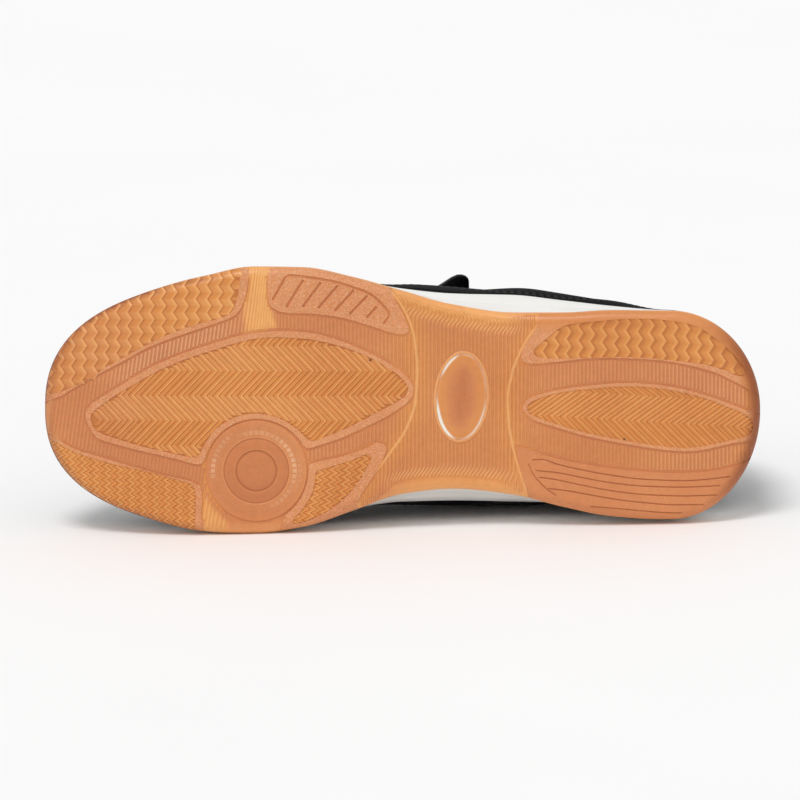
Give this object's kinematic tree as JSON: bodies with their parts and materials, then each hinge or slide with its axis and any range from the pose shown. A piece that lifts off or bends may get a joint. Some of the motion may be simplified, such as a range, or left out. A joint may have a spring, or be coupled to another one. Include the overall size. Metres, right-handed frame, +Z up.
{
  "type": "indoor court shoe",
  "caption": "Left indoor court shoe lying on its side, with a patterned gum-rubber outsole, white foam midsole and a black upper closed by hook-and-loop straps.",
  "frame": {"origin": "centre of the bounding box's underside, on the floor that the shoe lies on", "axes": "+X from the toe to the heel, +Y from the sole into the shoe, +Z up off the floor, from the medial to the lateral side"},
  "size_m": [0.29, 0.1184, 0.1075],
  "materials": {
    "gum_rubber": "satin translucent gum",
    "white_foam": "matte moulded foam",
    "lining": "brushed textile",
    "black_synthetic": "fine-grained, low sheen",
    "black_textile": "matte mesh",
    "strap_synthetic": "fine-grained, low sheen"
  },
  "bodies": {
    "root": {"outsole": "gum_rubber", "midsole": "white_foam", "insole": "lining", "upper": "black_synthetic", "tongue": "black_textile", "strap_rear": "strap_synthetic", "strap_front": "strap_synthetic"}
  },
  "joints": []
}
